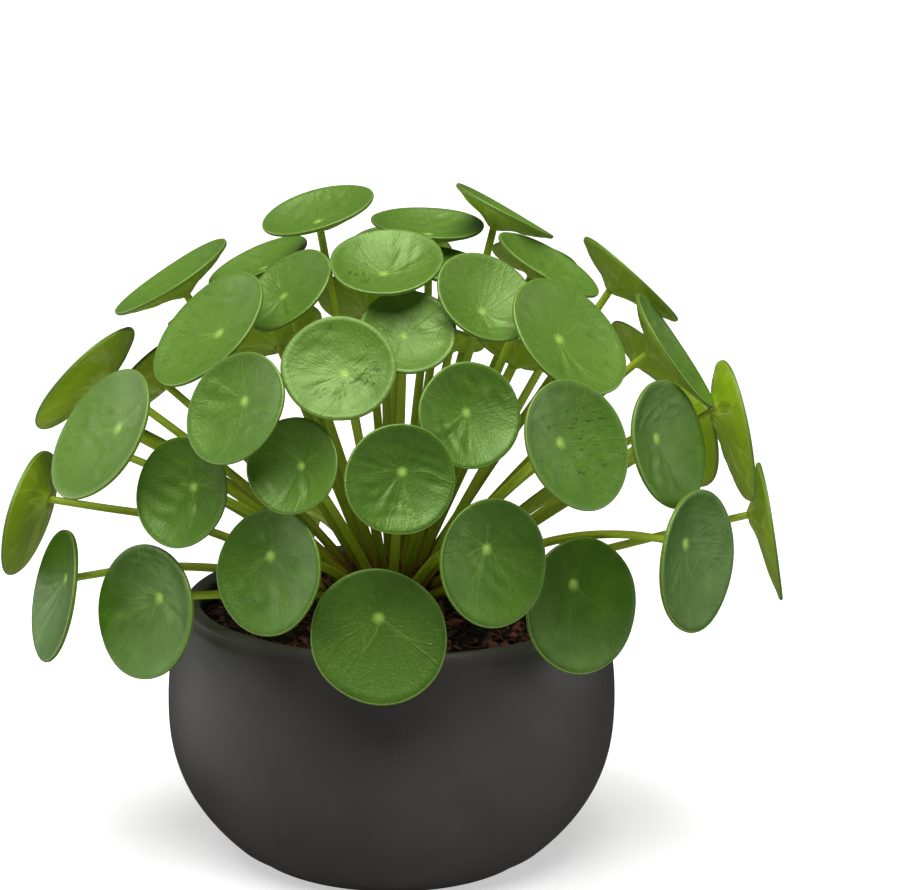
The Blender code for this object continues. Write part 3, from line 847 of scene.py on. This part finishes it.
def leaf_finish(leaf):
    """Living leaf: green top with puckers, painted sheen on raised folds and painted shade in sunken ones,
    olive underside, stalk red at its foot.
    """
    finish = Finish("living_leaf")
    reach = finish.value("reach")
    topside = finish.value("topside")
    stem = finish.value("stem")
    along = finish.value("along")
    fold = finish.value("fold")
    age = finish.value("age")
    marks = finish.value("marks")
    ray = finish.vector("ray")
    spread = finish.vector("spread")
    place = finish.place()
    fibre = finish.noise(finish.stretched(ray, (40.0, 40.0, 380.0)), 1.0, 3, 0.65)
    streak = finish.noise(finish.stretched(ray, (6.0, 6.0, 80.0)), 1.0, 2)
    pleat = finish.noise(finish.stretched(ray, (7.0, 7.0, 110.0)), 1.0, 3, 0.6, 0.5)
    blotch = finish.noise(place, 75, 3)
    cloud = finish.noise(place, 260, 2)
    grain = finish.noise(place, 1500, 2, 0.6)
    pebble = 1 - finish.node("TexVoronoi", {}, {"Vector": place, "Scale": 850.0}).band(0.0, 0.65)
    speck = finish.noise(place, 950, 1).band(0.765, 0.80)
    vein_noise = finish.noise(finish.stretched(ray, (1.6, 1.6, 30.0)), 1.0, 1)
    vein = 1 - (abs(vein_noise - 0.5) * reach).band(0.0, 0.009)
    vein = vein * finish.noise(finish.stretched(ray, (0.9, 0.9, 9.0)), 1.0, 1).band(0.42, 0.6)
    wrinkle = finish.noise(finish.stretched(spread, (240.0, 640.0, 3.0)), 1.0, 3, 0.6, 0.5).band(0.54, 0.7)
    patch = finish.noise(finish.stretched(spread, (70.0, 90.0, 7.0)), 1.0, 2).band(0.46, 0.6)
    wrinkle = wrinkle * patch * reach.band(0.06, 0.3) * (1 - reach.band(0.78, 0.97)) * topside

    top = finish.blend((age * 0.8 + 0.1 + (blotch - 0.5) * 0.9).clamped(), leaf.fresh, leaf.deep)
    # Painted sheen: raised folds, plus streaky and cloudy patches, turn pale grey-green.
    raised = (fold * 0.7 + (streak - 0.5) * 0.8 + (cloud - 0.5) * 0.8).band(0.0, 0.9) * (0.5 - age * 0.2)
    top = finish.blend(raised, top, leaf.sheen_and_pale_tone)
    # Dark marks on the marked leaves are their own. The darkening of sunken folds and pleats is painted
    # shade.
    marks_and_shade_amount = wrinkle * marks * 1.8 + (0 - fold).band(0.1, 0.9) * 0.25 + (0.5 - pleat).band(0.05, 0.3) * 0.3
    top = finish.blend(marks_and_shade_amount.clamped(), top, leaf.marks_and_fold_shade)
    top = finish.brighter(top, 0.9 + (fibre - 0.5) * 0.4 + (grain - 0.5) * 0.3 + pebble * 0.14)
    top = finish.blend(vein * (1 - reach.band(0.1, 0.8)) * 0.16, top, leaf.dot)
    spot = reach + (cloud - 0.5) * 0.05
    top = finish.blend((1 - spot.band(0.0, 0.13)) * 0.9, top, leaf.dot)
    top = finish.blend(speck * 0.5, top, leaf.dot)
    # Pale edge line: partly the margin's own colour, partly painted highlight on the rounded edge.
    top = finish.blend(reach.band(0.972, 0.986) * (1 - reach.band(0.986, 0.998)) * 0.8, top, leaf.rim)

    rib = 1 - (abs(vein_noise - 0.5) * reach).band(0.0, 0.022)
    # Underside colour: partly its own olive, partly painted light shining through the blade.
    under = finish.blend(rib * (1 - reach * 0.5) * 0.9, leaf.under, leaf.under_vein)
    under = finish.brighter(under, 0.7 + streak * 0.35 + fibre * 0.25)
    # The same pale edge line on the underside: partly own colour, partly painted highlight.
    under = finish.blend(reach.band(0.95, 0.985) * 0.5, under, leaf.rim)

    facing = finish.node("SeparateXYZ", {}, {0: finish.node("NewGeometry", {}, {}, "Normal")}, "Z")
    stalk = finish.blend(along.band(0.55, 1.0) * 0.75, leaf.stalk, leaf.stalk_pale)
    red = (1 - along.band(0.0, 0.25)) * 0.6 + facing.band(0.1, 0.9) * (1 - along * 0.6) * 0.45
    stalk = finish.blend((red + (streak - 0.5) * 0.7).clamped(), stalk, leaf.stalk_red)
    stalk = finish.brighter(stalk, 0.75 + fibre * 0.5)

    blade = finish.blend(topside, under, top)
    # Painted shade: the side of the rounded edge turns darker green.
    blade = finish.blend(topside * (1 - topside) * 2.8, blade, leaf.edge_shade_green)
    tint = finish.blend(stem, blade, stalk)
    relief = fibre * (0.2 + reach.band(0.55, 0.95) * 0.25) + pebble * 0.2
    relief += pleat * reach.band(0.12, 0.5) * 0.9
    relief += vein * 0.2 + rib * 0.15
    relief -= wrinkle * (marks * 0.4 + 0.08)
    roughness = 0.56 - topside * 0.12 + (grain - 0.5) * 0.25
    roughness += (blotch - 0.5) * 0.35 + (fibre - 0.5) * 0.12
    return finish.surface(
        base_color=tint,
        roughness=roughness,
        normal=finish.bump(relief, 0.32 * MM, 0.72),
        specular_ior_level=0.74,
        specular_tint=paint(leaf.sheen),
    )


class PLANT_OT_leaves(bpy.types.Operator):
    """Grow every leaf with its stalk"""

    bl_idname = "plant.leaves"
    bl_label = "Leaves"

    def execute(self, context):
        leaf = context.scene.plant_leaf
        skin_finish = leaf_finish(leaf)
        for number, name in enumerate(LEAF_NODES):
            piece = Leaf(name, number)
            skin = Skin()
            grow_stalk(skin, piece, leaf)
            grow_blade(skin, piece, leaf)
            place_piece(skin.make(f"grown_{name}", skin_finish), "leaf", name)
        return {"FINISHED"}


# ---- crown ----

def bark_finish(crown):
    """Rough brown crown and its dry papery scales."""
    finish = Finish("crown_bark")
    place = finish.place()
    rough = finish.noise(place, 500, 5, 0.6)
    patch = finish.noise(place, 130, 2)
    papery = finish.value("papery")
    tint = finish.blend((papery + (patch - 0.5) * 0.5).clamped(), crown.bark, crown.scale)
    tint = finish.brighter(tint, 0.45 + rough * 0.9)
    relief = finish.bump(rough, 0.8 * MM, 0.8)
    return finish.surface(base_color=tint, roughness=0.65 + rough * 0.25, normal=relief)


def add_scale(skin, rng, foot, outwards, size):
    """A papery scale that hugs the foot of a stalk and ends in a point."""
    run = unit(outwards + np.array((0, 0, 0.35)))
    side = unit(np.cross(run, (0, 0, 1)))
    back = np.cross(side, run)
    turn = rng.uniform(-0.9, 0.9)
    cos, sin = math.cos(turn), math.sin(turn)
    side, back = cos * side + sin * back, cos * back - sin * side
    radius = 2.9 * MM
    steps = 7
    spread = np.radians(np.concatenate([np.linspace(-62, 62, 6), np.linspace(62, -62, 6)]))
    thin = np.concatenate([np.full(6, 0.0), np.full(6, 0.22 * MM)])
    for step in range(steps):
        part = step / (steps - 1)
        narrow = 1 - part ** 1.6 * 0.94
        reach = radius * (1 + 0.25 * part) + thin
        middle = foot + run * size * part - outwards * 1.0 * MM
        ring = middle + np.outer(reach * np.sin(spread * narrow), side)
        ring -= np.outer(reach * np.cos(spread * narrow), back)
        if step == 0:
            skin.start(ring.mean(axis=0), papery=1.0)
        skin.grow(ring, papery=1.0)
    skin.grow(ring.mean(axis=0), papery=1.0)


class PLANT_OT_crown(bpy.types.Operator):
    """Shape the crown and its papery scales"""

    bl_idname = "plant.crown"
    bl_label = "Crown"

    def execute(self, context):
        crown = context.scene.plant_crown
        radius = CROWN_HIGH.x
        centre = np.array((0, 0, CROWN_HIGH.z - radius))
        circle = unit_circle(64)
        skin = Skin()
        skin.start((0, 0, CROWN_LOW.z), papery=0.0)
        base = CROWN_LOW.z - centre[2]
        profile = [(0.45 * radius, base), (0.8 * radius, base + 5 * MM)]
        profile += arc(0, 0, radius, -6, 86, 29)
        for wide, high in profile:
            ring = centre + circle * wide + (0, 0, high)
            knobs = random_waves(np.random.default_rng(CROWN_SEED), ring, 4 * MM, 9 * MM)
            ring[:, :2] *= 1 - np.clip(0.5 + 0.5 * knobs, 0, 1)[:, None] * crown.knobs / radius
            skin.grow(ring, papery=0.0)
        skin.grow(centre + (0, 0, radius - crown.knobs / 2), papery=0.0)
        rng = np.random.default_rng(SCALE_SEED)
        for number, name in enumerate(LEAF_NODES):
            foot = Leaf(name, number).foot
            add_scale(skin, rng, foot, unit(foot - centre), crown.scale_length * rng.uniform(0.6, 1.2))
        place_piece(skin.make("knobbly_crown", bark_finish(crown)), "crown", "crown")
        return {"FINISHED"}


# ---- stage ----

def add_light(name, kind, energy, place, aim, **settings):
    data = bpy.data.lights.new(name, kind)
    data.energy = energy
    for setting, value in settings.items():
        setattr(data, setting, value)
    light = bpy.data.objects.new(name, data)
    light.location = place
    light.rotation_euler = (Vector(place) - Vector(aim)).to_track_quat("Z", "Y").to_euler()
    bpy.context.scene.collection.objects.link(light)


def add_camera(stage):
    data = bpy.data.cameras.new("camera")
    data.sensor_width = 36
    data.sensor_fit = "HORIZONTAL"
    data.lens = stage.lens
    camera = bpy.data.objects.new("camera", data)
    rise = stage.camera_rise
    back = Vector((0, -math.cos(rise), math.sin(rise)))
    up = Vector((0, math.sin(rise), math.cos(rise)))
    turn = Matrix.Rotation(stage.camera_roll, 3, back)
    axes = Matrix((turn @ Vector((1, 0, 0)), turn @ up, back)).transposed().to_4x4()
    aim = Vector((stage.aim_across, 0, stage.aim_height))
    camera.matrix_world = Matrix.Translation(aim + stage.camera_distance * back) @ axes
    bpy.context.scene.collection.objects.link(camera)
    bpy.context.scene.camera = camera


def floor_finish(stage):
    finish = Finish("pale_floor")
    return finish.surface(
        base_color=paint(stage.floor),
        roughness=0.9,
        emission_color=paint((1, 1, 1)),
        emission_strength=stage.glow,
    )


class PLANT_OT_stage(bpy.types.Operator):
    """Set up the pale floor, the studio light and the camera"""

    bl_idname = "plant.stage"
    bl_label = "Stage"

    def execute(self, context):
        stage = context.scene.plant_stage
        half = stage.half
        mesh = bpy.data.meshes.new("floor")
        corners = [(-half, -half, 0), (half, -half, 0), (half, half, 0), (-half, half, 0)]
        mesh.from_pydata(corners, [], [(0, 1, 2, 3)])
        mesh.materials.append(floor_finish(stage))
        floor = bpy.data.objects.new("floor", mesh)
        context.scene.collection.objects.link(floor)
        # Waxy leaves would mirror the glowing floor as a grey film.
        floor.visible_glossy = False
        world = bpy.data.worlds.new("room")
        world.use_nodes = True
        world.node_tree.nodes["Background"].inputs["Color"].default_value = (1, 1, 1, 1)
        world.node_tree.nodes["Background"].inputs["Strength"].default_value = stage.room
        context.scene.world = world
        middle = (0, 0, 0.12)
        add_light("key", "SUN", stage.key, (-0.12, -0.46, 1.6), middle, angle=math.radians(54))
        add_light("left_box", "AREA", stage.left, (-1.0, 0.15, 0.14), middle, size=1.0)
        add_light("right_box", "AREA", stage.right, (1.0, 0.0, 0.3), middle, size=0.8)
        context.scene.view_settings.view_transform = "Standard"
        add_camera(stage)
        return {"FINISHED"}


# ---- panel ----

class PLANT_PT_build(bpy.types.Panel):
    """Buttons that build the plant piece by piece"""

    bl_label = "Money Plant"
    bl_idname = "PLANT_PT_build"
    bl_space_type = "VIEW_3D"
    bl_region_type = "UI"
    bl_category = "Money Plant"

    def draw(self, context):
        for operator in OPERATORS:
            self.layout.operator(operator.bl_idname)


OPERATORS = (PLANT_OT_pot, PLANT_OT_soil, PLANT_OT_crown, PLANT_OT_leaves, PLANT_OT_stage)
SETTINGS = {
    "plant_pot": PlantPotSettings,
    "plant_soil": PlantSoilSettings,
    "plant_crown": PlantCrownSettings,
    "plant_leaf": PlantLeafSettings,
    "plant_stage": PlantStageSettings,
}


def register():
    for name, group in SETTINGS.items():
        bpy.utils.register_class(group)
        setattr(bpy.types.Scene, name, PointerProperty(type=group))
    for operator in (*OPERATORS, PLANT_PT_build):
        bpy.utils.register_class(operator)


def unregister():
    for operator in (*OPERATORS, PLANT_PT_build):
        bpy.utils.unregister_class(operator)
    for name, group in SETTINGS.items():
        delattr(bpy.types.Scene, name)
        bpy.utils.unregister_class(group)


def main():
    register()
    bpy.ops.plant.pot()
    bpy.ops.plant.soil()
    bpy.ops.plant.crown()
    bpy.ops.plant.leaves()
    bpy.ops.plant.stage()


if __name__ == "__main__":
    main()
